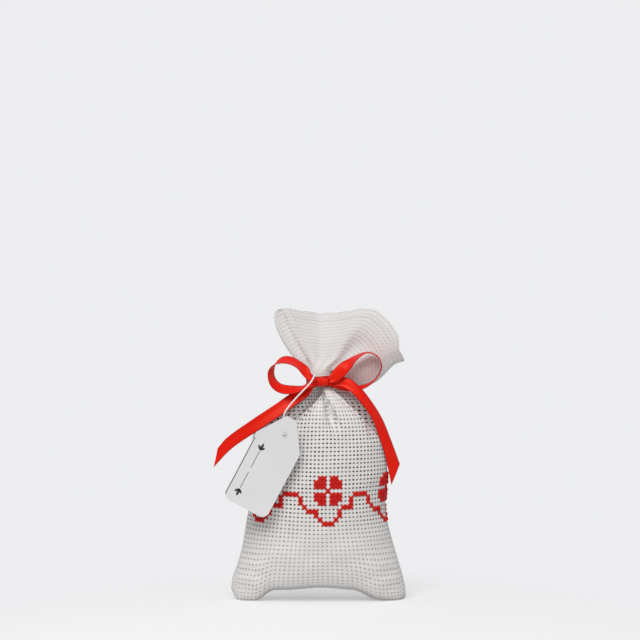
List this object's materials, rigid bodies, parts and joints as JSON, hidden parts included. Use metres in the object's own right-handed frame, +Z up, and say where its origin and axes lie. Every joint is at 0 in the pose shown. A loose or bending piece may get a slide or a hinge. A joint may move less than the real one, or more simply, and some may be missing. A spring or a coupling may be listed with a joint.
{
  "type": "lavender sachet",
  "caption": "Cross-stitched cloth scent bag filled with dried lavender, gathered at the neck by a ribbon bow, with a card tag swinging on a string",
  "frame": {"origin": "on the floor under the middle of the bag's box, with the ribbon tails and the hanging tag left out", "axes": "X to the right as the front is seen, Y away from the viewer, Z up; the embroidered front faces -Y"},
  "size_m": [0.0886, 0.0454, 0.1356],
  "materials": {
    "cloth": "matt white cotton evenweave with open holes",
    "lavender": "dried buds",
    "floss": "red cotton floss with a low sheen",
    "ribbon": "red satin",
    "card": "matt white card",
    "string": "white cotton string"
  },
  "bodies": {
    "bag": {"bag_pouch": "cloth", "bag_mouth": "cloth", "lavender_filling": "lavender", "stitched_border": "floss", "stitched_clover_1": "floss", "stitched_clover_2": "floss", "stitched_clover_3": "floss", "stitched_clover_4": "floss", "stitched_clover_5": "floss", "ribbon_neck_wrap": "ribbon", "bow_knot": "ribbon", "bow_loop_left": "ribbon", "bow_loop_right": "ribbon", "ribbon_tail_left": "ribbon", "ribbon_tail_right": "ribbon"},
    "string_loop": {"tag_string_loop": "string"},
    "string": {"tag_string": "string"},
    "tag": {"tag_card": "card", "tag_string_knot": "string"}
  },
  "joints": [
    {"name": "string_lift", "type": "hinge", "parent": "bag", "child": "string_loop", "pos_m": [-0.0018, -0.01, 0.1007], "axis": [-1, 0, 0], "range_deg": [0, 60]},
    {"name": "string_swing", "type": "hinge", "parent": "string_loop", "child": "string", "pos_m": [-0.0018, -0.01297, 0.104], "axis": [0, 1, 0], "range_deg": [-45, 14]},
    {"name": "tag_turn", "type": "hinge", "parent": "string", "child": "tag", "pos_m": [-0.0154, -0.0218, 0.0786], "axis": [0, 1, 0], "range_deg": [-35, 45]}
  ]
}
